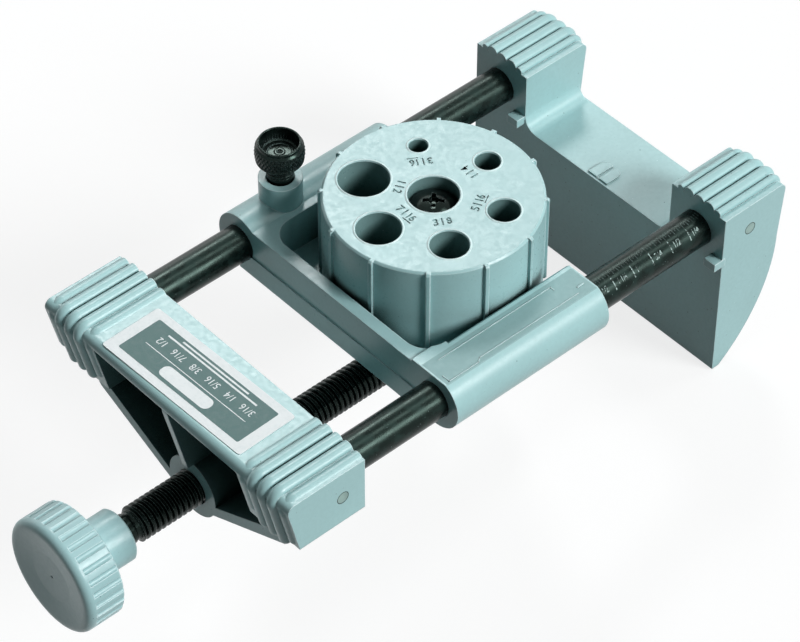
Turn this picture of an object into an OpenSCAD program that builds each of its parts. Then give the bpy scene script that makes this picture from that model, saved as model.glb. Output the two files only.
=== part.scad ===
// Doweling jig: a clamp with two jaws on two guide rods, and a carriage with
// a six hole drill turret that slides between them.
// Millimetres. Origin: turret axis on the work plane, the flat underside of
// the carriage that rests on the edge of the stock.
// +X runs along the rods to the fixed jaw, +Y to the plain rod, +Z up.

/* [Layout] */
// Distance from the fixed jaw's face to the centre of the dowel hole in use, as shown
shown_distance = 38; // [10:0.5:60]
// Clear length between the two castings
clear_length = 116.8; // [100:0.2:160]
// Distance from a rod's axis to the end of a casting
ear_outset = 9.03; // [8:0.01:12]
// Distance from the fixed jaw's face to the clamp pad's face, as shown
shown_opening = 34; // [14:0.5:90]

/* [Rods] */
// Diameter of the guide rods
rod_d = 9.525; // [8:0.005:10]
// Depth of the rod sockets in both castings
socket_l = 16.5; // [13:0.1:17]
// Chamfer on the rod ends
rod_chamfer = 0.5; // [0.2:0.1:1]
// Diameter of the cross pins
pin_d = 3.175; // [2.5:0.005:4]
// Length of the cross pins
pin_l = 16.4; // [14:0.2:17]
// Distance of the cross pins from the fixed jaw's face
jaw_pin_x = 9.3; // [6:0.1:12]
// Distance of the cross pins from the bracket's face
bracket_pin_x = 6.7; // [5:0.1:12]

/* [Carriage] */
// Outer diameter of the tubes on the rods
tube_d = 16; // [15:0.1:18]
// Wall left between the pocket and the rods
rod_wall = 2.31; // [1.8:0.01:4]
// Thickness of the floor plate
floor_t = 2.7; // [2:0.1:4]
// Height of the rim above the work plane
rim_h = 14.4; // [12:0.1:15]
// Thickness of the rear wall
rear_wall_t = 3.3; // [2.5:0.1:5]
// Gap between the turret and the pocket walls
pocket_gap = 0.4; // [0.2:0.1:0.8]
// Corner radius of the pocket
pocket_r = 6.5; // [3:0.5:10]
// Radius of the floor's round front
front_r = 27; // [24:0.1:28]
// Height of the lower band on the rear wall
band_h = 6.2; // [4:0.1:9]
// Projection of that band
band_out = 0.35; // [0.2:0.05:0.8]
// Depth of the flat index panel below the top of the near tube
panel_drop = 0.9; // [0.3:0.1:1.2]
// Width of the bevel between the index panel and the pocket
panel_bevel = 1; // [0.4:0.1:1.4]
// Diameter of the drill clearance hole in the floor
clear_hole_d = 14.3; // [13.5:0.1:16]
// Diameter of the turret's post
post_d = 8; // [7.5:0.1:9]
// Distance of the lock screw's boss behind the turret axis
boss_back = 18.2; // [10:0.1:22]
// Diameter of that boss
boss_d = 11; // [10:0.2:14]
// Height of that boss's top
boss_h = 21.7; // [19:0.1:24]

/* [Turret] */
// Diameter over the ribs
turret_d = 55.6; // [54:0.1:57]
// Height of the turret
turret_h = 26.2; // [22:0.1:32]
// Number of ribs
rib_count = 12; // [6:6:24]
// Width of a rib
rib_w = 1; // [0.6:0.1:2]
// Projection of a rib
rib_out = 0.8; // [0.4:0.1:1.2]
// Chamfer on the turret's edges
turret_chamfer = 0.5; // [0.2:0.1:1]
// Radius of the circle of drill holes
hole_pitch_r = 17.6; // [16.8:0.1:18]
// Drill hole sizes, from the one in use, clockwise seen from above
hole_d = [6.35, 7.9375, 9.525, 11.1125, 12.7, 4.7625]; // [4.5:0.0001:12.8]
// Chamfer at the mouths of the drill holes
mouth_chamfer = 0.2; // [0.1:0.05:0.4]
// Diameter of the counterbore for the turret's screw
counterbore_d = 12.7; // [12.2:0.1:14]
// Depth from the turret's top to the rim of the screw's head
head_drop = 3.6; // [2:0.1:5]

/* [Turret screw] */
// Diameter of the screw's head
head_d = 11.7; // [10:0.1:12]
// Height of the head's rim
head_rim = 1; // [0.6:0.1:1.4]
// Height of the head's dome above its rim
head_dome = 1.9; // [1:0.1:2.4]
// Diameter of the screw's thread
screw_d = 4.826; // [4:0.002:5]
// Length of the screw under its head
screw_l = 18; // [10:0.5:19]
// Thickness of the flat washer
washer_t = 0.8; // [0.5:0.1:1.2]
// Height of the cone washer as fitted
cone_h = 1.1; // [0.8:0.1:1.6]
// Thickness of the cone washer
cone_t = 0.5; // [0.3:0.05:0.7]

/* [Lock screw] */
// Thread diameter of the lock screw and of its plug
lock_d = 6.35; // [5:0.05:7]
// Diameter of its knurled head
lock_head_d = 12.6; // [10:0.1:14]
// Height of the head's knurled band
lock_band_h = 3.3; // [2:0.1:5]
// Gap between the boss and the head's neck, as shown
lock_stand_off = 2.4; // [1:0.1:4]
// Length of the plug under the lock screw
plug_l = 4; // [3:0.1:5]
// Gap between the plug and the rod, as shown
plug_lift = 0.3; // [0.2:0.05:0.6]

/* [Fixed jaw] */
// Depth of the jaw's face below the work plane
jaw_depth = 35.4; // [28:0.1:40]
// Thickness of the jaw's face plate
jaw_plate_t = 3.4; // [3:0.1:5]
// Thickness of the jaw's end webs
jaw_web_t = 3.2; // [2.5:0.1:4.5]
// Thickness of the jaw's middle web
mid_web_t = 2.6; // [2:0.1:4]
// Thickness of the ledge plate
ledge_t = 3; // [2.5:0.1:4]
// Depth of the ledge below the work plane
ledge_drop = 0.8; // [0.6:0.1:2]
// Length of the jaw from its face to its back at the top
jaw_l = 21.1; // [20:0.1:26]
// Slope of the jaw's back
jaw_slope = 5.4; // [3:0.1:8]
// Radius of the curve of the jaw's back
jaw_curve_r = 43; // [40:0.5:50]
// Fillet between ear and ledge
ledge_fillet = 4; // [2:0.5:5]
// Projection of the two stop lugs
lug_out = 2.8; // [2:0.1:4]
// Width of a stop lug
lug_w = 3.7; // [2.5:0.1:5]
// Height of a stop lug
lug_h = 2.4; // [1.5:0.1:4]
// Distance of a stop lug's middle from its rod's axis
lug_off = 7.35; // [6:0.05:7.5]
// Height of a stop lug's top above the work plane
lug_top = 3.1; // [2.5:0.1:4]
// Distance of the index pad from the jaw's face
pad_mark_x = 0.7; // [0.5:0.1:4]
// Width of the index pad on the ledge
pad_mark_w = 6.7; // [5:0.1:12]
// Length of the index pad
pad_mark_l = 5.9; // [4.5:0.1:12]
// Height of the index pad
pad_mark_h = 0.5; // [0.2:0.05:0.55]

/* [Ears] */
// Width of the ears on both castings
ear_w = 18.3; // [16:0.1:20]
// Height of the ears above the work plane
ear_h = 16; // [15:0.1:18]
// Distance between the ridges on the ears
ridge_pitch = 3.45; // [3:0.05:3.6]
// Radius of the ridges
ridge_r = 1.69; // [1.5:0.01:1.7]
// Radius of the side ridges on the fixed jaw
jaw_side_r = 1; // [0.9:0.05:1.3]
// Radius of the side ridges on the bracket
bracket_side_r = 1.69; // [1.2:0.01:1.7]
// Height of the middle ridges above the fixed jaw's ears
jaw_crown = 2.3; // [1.5:0.1:2.6]
// Height of the middle ridges above the bracket's ears
bracket_crown = 1.4; // [0.8:0.1:1.6]
// Radius of the corner under the ridges
corner_r = 2; // [1.5:0.1:3]

/* [Screw bracket] */
// Length of the bracket from its face to its sloped side, at the work plane
bracket_l = 19.8; // [19:0.1:26]
// Slope of that side
bracket_slope = 12.95; // [8:0.05:18]
// Thickness of the bracket's top plate
top_t = 2.7; // [2:0.1:4]
// Thickness of its face wall
apron_t = 2.8; // [2:0.1:4]
// Thickness of its lower flanges
flange_t = 2.6; // [2:0.1:3.5]
// Length of the flanges and of the screw's boss
flange_l = 15.8; // [14:0.1:16]
// Thickness of the middle web
gusset_t = 2; // [1.5:0.1:3]
// Depth of the ears' inner sides below the work plane
ear_skirt = 2.6; // [1:0.1:4]
// Width of that lower reach
ear_skirt_w = 9; // [6:0.5:11]
// Diameter of the boss
screw_boss_d = 17; // [15:0.2:20]
// Depth of the knees of the bracket's lower edge below the work plane
knee_drop = 9.9; // [7:0.1:12]
// Gap between the label and the ears
label_gap = 1.8; // [1:0.1:8]
// Width of the label
label_w = 17.4; // [12:0.1:17.6]
// Distance of the label from the bracket's face
label_edge = 3.7; // [2:0.1:4]
// Thickness of the label
label_t = 0.2; // [0.1:0.05:0.4]
// Turn of the label, which is stuck on a little askew
label_skew = 1.5; // [-2:0.5:2]

/* [Clamp screw] */
// Depth of the clamp screw's axis below the work plane
screw_drop = 18.2; // [17:0.1:20]
// Outer diameter of the clamp screw
clamp_d = 9.525; // [8:0.005:10]
// Free length of the screw between bracket and knob, as shown
free_l = 22.2; // [5:0.1:40]
// Length of the screw's plain neck at the knob
neck_l = 3.2; // [1:0.1:6]
// Diameter of the neck
neck_d = 8; // [6.5:0.1:8.5]
// Diameter of the screw's nose in the pad
nose_d = 6.4; // [5:0.1:7]
// Diameter of the pad
pad_d = 19; // [16:0.5:25]
// Thickness of the pad
pad_t = 7; // [6:0.1:10]
// Diameter of the counterbore in the pad's face
pad_bore_d = 11; // [10:0.1:12]
// Depth of that counterbore
pad_bore_h = 3; // [2.6:0.1:3.5]
// Thickness of the retaining clip
clip_t = 0.9; // [0.6:0.1:1.2]

/* [Knob] */
// Diameter of the knob
knob_d = 30.5; // [24:0.5:36]
// Length of the knob's fluted body
knob_l = 10.5; // [8:0.1:14]
// Diameter of the hub
hub_d = 14; // [12:0.2:17]
// Length of the hub
hub_l = 10.5; // [6:0.1:14]
// Number of flutes
flute_count = 30; // [24:2:36]
// Radius of a flute
flute_r = 0.85; // [0.6:0.05:1]
// Gap between the front edge's rounding and the flutes
flute_shoulder = 0.3; // [0.1:0.1:1]
// Radius of the knob's front edge
knob_edge_r = 1.9; // [1:0.1:4]
// Depth of the hollow in the knob's front
knob_dish = 0.9; // [0.3:0.1:1.5]

/* [Fits] */
// Radial clearance of rods and pins in their sockets
press_gap = 0.03; // [0.02:0.01:0.05]
// Radial running clearance
run_gap = 0.06; // [0.04:0.01:0.1]
// Gap between faces that turn or slide on each other
face_gap = 0.1; // [0.05:0.05:0.2]

/* [Hidden] */
$fn = 96;
eps = 0.01;
hair = 0.02;

jaw_x = hole_pitch_r + shown_distance;
bracket_x = jaw_x - clear_length;
rod_z = tube_d / 2;
rod_r = rod_d / 2;
rod_y = turret_d / 2 + pocket_gap + rod_wall + rod_r;
rod_span = 2 * rod_y;
half_w = rod_y + ear_outset;
casting_w = 2 * half_w;
ear_in = half_w - ear_w;
ear_mid = half_w - ear_w / 2;
label_l = 2 * (ear_in - label_gap);
rod_x0 = bracket_x - socket_l + 0.3;
rod_x1 = jaw_x + socket_l - 0.3;

turret_r = turret_d / 2;
turret_z0 = floor_t + face_gap;
turret_z1 = turret_z0 + turret_h;
pocket_w = turret_r + pocket_gap;
carriage_back = pocket_w + rear_wall_t;
head_z = turret_z1 - head_drop - head_rim;
cone_z = head_z - face_gap / 2 - cone_h;
washer_z = cone_z - washer_t;
counterbore_z = washer_z - face_gap / 2;
post_r = post_d / 2;

boss_top_neck = boss_h + lock_stand_off;
plug_z0 = rod_z + rod_r + plug_lift;
plug_z1 = plug_z0 + plug_l;

ledge_z = -ledge_drop;

screw_z = -screw_drop;
boss_x = bracket_x - flange_l;
hub_x1 = boss_x - free_l;
knob_x1 = hub_x1 - hub_l;
knob_x0 = knob_x1 - knob_l;
pad_x1 = jaw_x - shown_opening;
pad_x0 = pad_x1 - pad_t;
clip_x0 = pad_x1 - pad_bore_h + face_gap;
clip_x1 = clip_x0 + clip_t;
nose_x1 = clip_x1 + 0.8;

// Cylinder along X
module xcyl(r, x0, x1) {
  translate([x0, 0, 0])
    rotate([0, 90, 0])
      cylinder(r = r, h = x1 - x0);
}

// Cylinder along Y
module ycyl(r, y0, y1) {
  translate([0, y1, 0])
    rotate([90, 0, 0])
      cylinder(r = r, h = y1 - y0);
}

// Profile in Y and Z, drawn out along X
module along_x(x0, x1) {
  translate([x0, 0, 0])
    rotate([90, 0, 90])
      linear_extrude(x1 - x0)
        children();
}

// Profile in X and Z, drawn out along Y
module along_y(y0, y1) {
  translate([0, y1, 0])
    rotate([90, 0, 0])
      linear_extrude(y1 - y0)
        children();
}

// Turned profile about an axis along X, its radius first
module turned_x() {
  rotate([90, 0, 90])
    rotate_extrude()
      children();
}

// X of a sloped side at height z: x0 is its place at the work plane
function side_x(x0, slope, z) = x0 + z * tan(slope);

// Outline in X and Z of a block whose far side slopes and whose top corner is
// round, from x = xa to the sloped side, z0 to z1
module sloped_outline(xa, x0, slope, z0, z1, r) {
  zc = z1 - r;
  xc = side_x(x0, slope, zc) - r / cos(slope);
  tx = xc + r * cos(slope);
  tz = zc - r * sin(slope);
  polygon([
    [xa, z0], [xa, z1], [xc, z1], [xc, zc], [tx, tz],
    [side_x(x0, slope, z0), z0]
  ]);
  translate([xc, zc])
    circle(r);
}

// One ridge: a round bar along the top, round the corner and down the slope.
// top is its highest point, out its projection from the sloped side. The bend
// is a hair thicker than the bars, which end inside it.
module ridge(xa, x0, slope, r, top, out, foot_z) {
  bend = corner_r + 0.4;
  zc = top - r - bend;
  off = (out - r) / cos(slope);
  xc = side_x(x0, slope, zc) + off - bend / cos(slope);
  px = xc + bend * cos(slope);
  pz = zc - bend * sin(slope);
  fall = (pz - foot_z - r) / cos(slope);
  translate([0, 0, top - r])
    xcyl(r, xa, xc + hair * 10);
  translate([xc, 0, zc])
    rotate([90, 0, 0])
      rotate([0, 0, -slope])
        rotate_extrude(angle = 90 + slope)
          translate([bend, 0])
            circle(r + hair);
  translate([px, 0, pz])
    rotate([0, 180 + slope, 0])
      translate([0, 0, -hair * 10]) {
        cylinder(r = r, h = fall + hair * 10);
        translate([0, 0, fall + hair * 10])
          sphere(r - hair);
      }
}

// The five ridges on one ear: three in the middle and a side one next to each.
// tops are their highest points, outs their projections from the slope and
// feet the heights they end at, middle ones first.
module ridges(xa, x0, slope, side_r, tops, outs, feet) {
  side_off = ridge_pitch + ridge_r + side_r + 4 * hair;
  for (i = [-1, 0, 1])
    translate([0, ear_mid + i * ridge_pitch, 0])
      ridge(xa, x0, slope, ridge_r, tops[0], outs[0], feet[0]);
  for (i = [-1, 1])
    translate([0, ear_mid + i * side_off, 0])
      ridge(xa, x0, slope, side_r, tops[1], outs[1], feet[1]);
}

// Socket for a rod and for the pin across it
module rod_socket(x0, x1, pin_x) {
  translate([0, rod_y, rod_z])
    xcyl(rod_r + press_gap, x0, x1);
  translate([pin_x, 0, rod_z])
    ycyl(pin_d / 2 + press_gap, half_w - pin_l - 0.3, half_w + 1);
}

module both_sides() {
  children();
  mirror([0, 1, 0])
    children();
}

// Fixed jaw
module jaw_back_outline() {
  // The curve meets the sloped back where its own tangent has that slope
  x0 = jaw_l - ear_h * tan(jaw_slope) + 0.25;
  kx = side_x(x0, jaw_slope, ledge_z) - jaw_curve_r;
  intersection() {
    union() {
      translate([0, ledge_z])
        square([jaw_l, ear_h]);
      translate([kx, ledge_z])
        circle(jaw_curve_r);
    }
    polygon([
      [0, -jaw_depth], [0, ledge_z],
      [side_x(x0, jaw_slope, ledge_z), ledge_z],
      [side_x(x0, jaw_slope, ledge_z), -jaw_depth]
    ]);
  }
}

module jaw_solid() {
  x0 = jaw_l - ear_h * tan(jaw_slope) + 0.25;
  along_y(-half_w, half_w)
    jaw_back_outline();
  both_sides() {
    along_y(ear_in, half_w)
      sloped_outline(0, x0, jaw_slope, ledge_z - eps, ear_h, corner_r);
    along_y(ear_mid - 1.5 * ridge_pitch, ear_mid + 1.5 * ridge_pitch)
      sloped_outline(0, x0, jaw_slope, ear_h / 2, ear_h + jaw_crown - 1.4,
        corner_r);
    ridges(0, x0, jaw_slope, jaw_side_r, [ear_h + jaw_crown, ear_h + 1.5],
      [1.2, 0.7], [4, 5]);
  }
}

module fixed_jaw() {
  color([0.72, 0.83, 0.84])
    translate([jaw_x, 0, 0])
      difference() {
        union() {
          jaw_solid();
          // Fillets between the ears and the ledge
          both_sides()
            along_y(ear_in - ledge_fillet, ear_in)
              translate([0, ledge_z])
                square([jaw_l - 1.8, ledge_fillet]);
          // Stop lugs, both on the near side of their rods
          for (s = [-1, 1])
            translate([-lug_out, s * rod_y - lug_off - lug_w / 2, lug_top - lug_h])
              cube([lug_out + 1, lug_w, lug_h]);
          // Index pad
          translate([pad_mark_x, -pad_mark_w / 2, ledge_z - 1])
            cube([pad_mark_l - 2, pad_mark_w, 1 + pad_mark_h]);
          translate([pad_mark_x + pad_mark_l - 2, 0, ledge_z - 1])
            for (s = [-1, 1])
              translate([0, s * (pad_mark_w / 2 - 2), 0])
                cylinder(r = 2, h = 1 + pad_mark_h);
          translate([pad_mark_x, 2 - pad_mark_w / 2, ledge_z - 1])
            cube([pad_mark_l, pad_mark_w - 4, 1 + pad_mark_h]);
        }
        both_sides()
          translate([-1, ear_in - ledge_fillet, ledge_z + ledge_fillet])
            xcyl(ledge_fillet, 0, jaw_l + 2);
        // Groove in the index pad
        translate([-1, -0.4, ledge_z + 0.1])
          cube([jaw_l + 2, 0.8, 1]);
        // Hollow back, one bay each side of the middle web
        both_sides()
          translate([jaw_plate_t, mid_web_t / 2, -jaw_depth - 1])
            cube([
              jaw_l, half_w - jaw_web_t - mid_web_t / 2,
              jaw_depth + 1 + ledge_z - ledge_t
            ]);
        both_sides()
          translate([-jaw_x, 0, 0])
            rod_socket(jaw_x - 1, jaw_x + socket_l, jaw_x + jaw_pin_x);
      }
}

// Screw bracket, built with its sloped side at +X and then turned round
module v_outline(in) {
  // Lower edge of the bracket: a shallow V that turns up to the ears. Its
  // lowest point is just inside the lowest point of the screw's boss.
  end_y = half_w - in;
  knee_y = ear_in + 8 - in * 0.7;
  knee_z = -knee_drop + in * 1.1;
  low_z = screw_z - screw_boss_d / 2 + 0.9 + in * 1.1;
  polygon([
    [-end_y, ear_h / 2], [-end_y, 0], [1.6 - end_y, in], [-knee_y, knee_z],
    [0, low_z], [knee_y, knee_z], [end_y - 1.6, in], [end_y, 0],
    [end_y, ear_h / 2]
  ]);
}

module bracket_solid() {
  x0 = bracket_l;
  difference() {
    along_y(-half_w, half_w)
      sloped_outline(0, x0, bracket_slope, 0, ear_h, corner_r);
    // Hollow between the ears, under the top plate
    translate([apron_t, -ear_in, -1])
      cube([x0 + 10, 2 * ear_in, ear_h - top_t + 1]);
  }
  both_sides() {
    ridges(0, x0, bracket_slope, bracket_side_r,
      [ear_h + bracket_crown, ear_h + 0.7], [1.2, 0.6], [-2.5, 0.2]);
    // The ears reach lower at their inner sides
    along_y(ear_in, ear_in + ear_skirt_w)
      polygon([
        [0, -ear_skirt], [0, 2], [side_x(x0, bracket_slope, 2), 2],
        [side_x(x0, bracket_slope, -ear_skirt), -ear_skirt]
      ]);
  }
  // Face wall and lower flanges
  along_x(0, apron_t)
    v_outline(0);
  along_x(0, flange_l)
    difference() {
      v_outline(0);
      v_outline(flange_t);
      translate([-half_w - 1, 0])
        square([casting_w + 2, ear_h]);
    }
  // Middle web
  along_y(-gusset_t / 2, gusset_t / 2)
    polygon([
      [1, screw_z], [1, ear_h - 1], [side_x(x0, bracket_slope, ear_h - 4), ear_h - 1],
      [side_x(x0, bracket_slope, ear_h - 4), ear_h - 4],
      [side_x(x0, bracket_slope, screw_z + screw_boss_d / 2), screw_z + screw_boss_d / 2],
      [flange_l, screw_z + screw_boss_d / 2], [flange_l, screw_z]
    ]);
  // Screw boss
  translate([0, 0, screw_z])
    xcyl(screw_boss_d / 2, 0, flange_l);
}

module screw_bracket() {
  color([0.70, 0.82, 0.83])
    translate([bracket_x, 0, 0])
      difference() {
        mirror([1, 0, 0])
          bracket_solid();
        translate([0, 0, screw_z])
          xcyl(clamp_d / 2 + run_gap, -flange_l - 1, 1);
        translate([-bracket_x, 0, 0])
          both_sides()
            rod_socket(bracket_x - socket_l, bracket_x + 1,
              bracket_x - bracket_pin_x);
      }
}

module rod(s) {
  translate([0, s * rod_y, rod_z])
    difference() {
      turned_x()
        polygon([
          [0, rod_x0], [rod_r - rod_chamfer, rod_x0],
          [rod_r, rod_x0 + rod_chamfer], [rod_r, rod_x1 - rod_chamfer],
          [rod_r - rod_chamfer, rod_x1], [0, rod_x1]
        ]);
      for (x = [jaw_x + jaw_pin_x, bracket_x - bracket_pin_x])
        translate([x, 0, 0])
          ycyl(pin_d / 2 + press_gap, -rod_d, rod_d);
    }
}

module scale_rod() {
  color([0.10, 0.12, 0.12])
    rod(-1);
}

module plain_rod() {
  color([0.10, 0.12, 0.12])
    rod(1);
}

module cross_pin(x, s) {
  color([0.60, 0.68, 0.64])
    mirror([0, s < 0 ? 1 : 0, 0])
      translate([x, 0, rod_z])
        ycyl(pin_d / 2, half_w - pin_l, half_w);
}

module scale_rod_jaw_pin() {
  cross_pin(jaw_x + jaw_pin_x, -1);
}

module plain_rod_jaw_pin() {
  cross_pin(jaw_x + jaw_pin_x, 1);
}

module scale_rod_bracket_pin() {
  cross_pin(bracket_x - bracket_pin_x, -1);
}

module plain_rod_bracket_pin() {
  cross_pin(bracket_x - bracket_pin_x, 1);
}

module label_plate() {
  color([0.25, 0.36, 0.36])
    translate([bracket_x - label_edge - label_w / 2, 0, ear_h])
      rotate([0, 0, label_skew])
        translate([-label_w / 2, -label_l / 2, 0])
          cube([label_w, label_l, label_t]);
}

// Carriage
module pocket() {
  // The pocket is open to the front
  x0 = rear_wall_t - carriage_back;
  translate([0, 0, floor_t])
    linear_extrude(rim_h)
      union() {
        translate([x0 + pocket_r, -pocket_w])
          square([2 * turret_d, 2 * pocket_w]);
        translate([x0, pocket_r - pocket_w])
          square([2 * turret_d, 2 * (pocket_w - pocket_r)]);
        for (s = [-1, 1])
          translate([x0 + pocket_r, s * (pocket_w - pocket_r)])
            circle(pocket_r);
      }
}

// The flat index panel along the near tube, and its bevel to the pocket
module index_panel_cut() {
  z = tube_d - panel_drop;
  x0 = -carriage_back - 1;
  x1 = hole_pitch_r + 1;
  translate([x0, -rod_y - tube_d / 2, z])
    cube([x1 - x0, tube_d, panel_drop + 1]);
  translate([rear_wall_t - carriage_back + pocket_r, 0, 0])
    along_x(0, 2 * turret_d)
      polygon([
        [-pocket_w + 1, z + 1], [-pocket_w - panel_bevel - 1, z + 1],
        [-pocket_w + 1, z - panel_bevel - 1]
      ]);
}

module carriage() {
  color([0.68, 0.80, 0.81])
    difference() {
      union() {
        difference() {
          union() {
            both_sides()
              translate([0, rod_y, rod_z])
                xcyl(tube_d / 2, -carriage_back, hole_pitch_r);
            // Floor, walls and rim
            translate([-carriage_back, -rod_y, 0])
              cube([carriage_back + hole_pitch_r, rod_span, rim_h]);
            translate([-carriage_back - band_out, -rod_y, 0])
              cube([1, rod_span, band_h]);
            // The near wall is as high as the index panel
            translate([-carriage_back, -rod_y, 0])
              cube([
                carriage_back + hole_pitch_r, rod_y - pocket_w + 1,
                tube_d - panel_drop
              ]);
            // Boss for the lock screw
            translate([-boss_back, rod_y, rod_z])
              cylinder(d = boss_d, h = boss_h - rod_z);
          }
          pocket();
          index_panel_cut();
        }
        cylinder(r = front_r, h = floor_t);
        cylinder(r = post_r, h = head_z);
      }
      both_sides()
        translate([0, rod_y, rod_z])
          xcyl(rod_r + run_gap, -carriage_back - 1, hole_pitch_r + 1);
      // Drill clearance, the screw's hole and the lock screw's hole
      translate([hole_pitch_r, 0, -1])
        cylinder(d = clear_hole_d, h = floor_t + 2);
      translate([0, 0, head_z - screw_l - 0.8])
        cylinder(r = screw_d / 2 + press_gap, h = screw_l + 2);
      translate([-boss_back, rod_y, rod_z])
        cylinder(r = lock_d / 2 + run_gap, h = boss_h);
      translate([-boss_back, rod_y, boss_h - 0.4])
        cylinder(r1 = lock_d / 2 + run_gap, r2 = lock_d / 2 + run_gap + 0.4,
          h = 0.4 + eps);
    }
}

// Turret
module turret_profile(r) {
  c = turret_chamfer;
  rotate_extrude()
    polygon([
      [post_r + run_gap, turret_z0], [r - c, turret_z0], [r, turret_z0 + c],
      [r, turret_z1 - c], [r - c, turret_z1], [post_r + run_gap, turret_z1]
    ]);
}

module turret() {
  color([0.66, 0.80, 0.81])
    difference() {
      union() {
        turret_profile(turret_r - rib_out);
        intersection() {
          turret_profile(turret_r);
          for (i = [0 : rib_count - 1])
            rotate([0, 0, (i + 0.5) * 360 / rib_count])
              translate([turret_r - 2 * rib_out - 1, -rib_w / 2, 0])
                cube([2 * rib_out + 2, rib_w, turret_z1 + 1]);
        }
      }
      translate([0, 0, counterbore_z])
        cylinder(d = counterbore_d, h = turret_h);
      for (i = [0 : len(hole_d) - 1])
        rotate([0, 0, -i * 360 / len(hole_d)])
          translate([hole_pitch_r, 0, 0]) {
            translate([0, 0, turret_z0 - 1])
              cylinder(d = hole_d[i], h = turret_h + 2);
            translate([0, 0, turret_z1 - mouth_chamfer])
              cylinder(d1 = hole_d[i], d2 = hole_d[i] + 2 * mouth_chamfer + 2 * eps,
                h = mouth_chamfer + eps);
          }
    }
}

module turret_screw() {
  dome_r = (pow(head_d / 2, 2) + pow(head_dome, 2)) / (2 * head_dome);
  color([0.08, 0.09, 0.09])
    difference() {
      union() {
        translate([0, 0, head_z])
          cylinder(d = head_d, h = head_rim);
        intersection() {
          translate([0, 0, head_z + head_rim + head_dome - dome_r])
            sphere(dome_r);
          translate([0, 0, head_z + head_rim / 2])
            cylinder(d = head_d, h = head_dome + head_rim);
        }
        translate([0, 0, head_z - screw_l])
          cylinder(d = screw_d, h = screw_l + 0.5);
      }
      // Cross recess
      for (a = [45, 135])
        rotate([0, 0, a])
          translate([-head_d * 0.23, -0.55, head_z + head_rim])
            cube([head_d * 0.46, 1.1, head_dome + 1]);
      translate([0, 0, head_z + head_rim - 0.7])
        cylinder(r1 = 0.3, r2 = 1.5, h = head_dome + 1);
    }
}

module turret_washer() {
  color([0.45, 0.48, 0.48])
    translate([0, 0, washer_z])
      difference() {
        cylinder(d = counterbore_d - 0.7, h = washer_t);
        translate([0, 0, -1])
          cylinder(r = post_r + run_gap, h = washer_t + 2);
      }
}

module turret_cone_washer() {
  r0 = post_r + run_gap;
  r1 = counterbore_d / 2 - 0.45;
  color([0.35, 0.37, 0.37])
    translate([0, 0, cone_z])
      rotate_extrude()
        polygon([
          [r0, cone_h - cone_t], [r1, 0], [r1, cone_t], [r0, cone_h]
        ]);
}

// Lock screw
module thumbscrew() {
  r = lock_d / 2;
  z0 = plug_z1 + face_gap / 2;
  n = boss_top_neck;
  band = n + 4.1;
  top = band + lock_band_h;
  hr = lock_head_d / 2;
  color([0.09, 0.11, 0.11])
    translate([-boss_back, rod_y, 0])
      rotate_extrude()
        polygon([
          [0, z0], [r - 0.5, z0], [r, z0 + 0.5], [r, n - 1.7],
          [r + 0.3, n - 1.5], [r + 0.3, n - 0.6], [r + 0.7, n], [r + 1.7, n + 1.6],
          [hr - 0.7, band - 0.9], [hr - 0.1, band - 0.3],
          [hr, band], [hr, top], [hr - 0.3, top + 0.5], [hr - 0.7, top + 1],
          [hr - 0.7, top + 1.6], [hr - 1.1, top + 1.7], [hr - 1.3, top - 1.4],
          [hr - 2, top - 1.7], [0, top - 1.7]
        ]);
}

module lock_plug() {
  color([0.72, 0.60, 0.32])
    translate([-boss_back, rod_y, plug_z0])
      cylinder(d = lock_d, h = plug_l);
}

// Clamp screw, its knob and its pad
module lead_screw() {
  r = clamp_d / 2;
  shoulder = pad_x0 - face_gap;
  x0 = knob_x1 - knob_l * 0.45;
  g = nose_d / 2 - 0.5;
  color([0.09, 0.11, 0.11])
    translate([0, 0, screw_z])
      turned_x()
        polygon([
          [0, x0], [neck_d / 2 - 0.4, x0], [neck_d / 2, x0 + 0.4],
          [neck_d / 2, hub_x1 + neck_l], [r, hub_x1 + neck_l + 0.8],
          [r, shoulder - 0.8], [r - 0.8, shoulder], [nose_d / 2, shoulder],
          [nose_d / 2, clip_x0 - 0.05], [g, clip_x0 - 0.05],
          [g, clip_x1 + 0.05], [nose_d / 2, clip_x1 + 0.05],
          [nose_d / 2, nose_x1 - 0.4], [nose_d / 2 - 0.4, nose_x1],
          [0, nose_x1]
        ]);
}

module knob() {
  r = knob_d / 2;
  e = knob_edge_r;
  color([0.66, 0.80, 0.80])
    translate([0, 0, screw_z])
      difference() {
        turned_x() {
          polygon([
            [0, knob_x0 + knob_dish], [r * 0.45, knob_x0 + knob_dish * 0.75],
            [r - e - 0.6, knob_x0], [r - e, knob_x0],
            [r - e, knob_x0 + e], [r, knob_x0 + e], [r, knob_x1 - 0.4],
            [r - 0.4, knob_x1], [hub_d / 2, knob_x1],
            [hub_d / 2, hub_x1 - 0.5], [hub_d / 2 - 0.5, hub_x1],
            [0, hub_x1]
          ]);
          translate([r - e, knob_x0 + e])
            intersection() {
              circle(e);
              translate([0, -e])
                square([e, e]);
            }
        }
        for (i = [0 : flute_count - 1])
          rotate([i * 360 / flute_count, 0, 0])
            translate([0, 0, r + flute_r * 0.35])
              xcyl(flute_r, knob_x0 + e + flute_shoulder, knob_x1 + 1);
        xcyl(neck_d / 2 + press_gap, knob_x1 - knob_l * 0.45 - 0.3, hub_x1 + 1);
        xcyl(0.4, knob_x0 - 1, knob_x0 + knob_dish + 0.5);
      }
}

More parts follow.
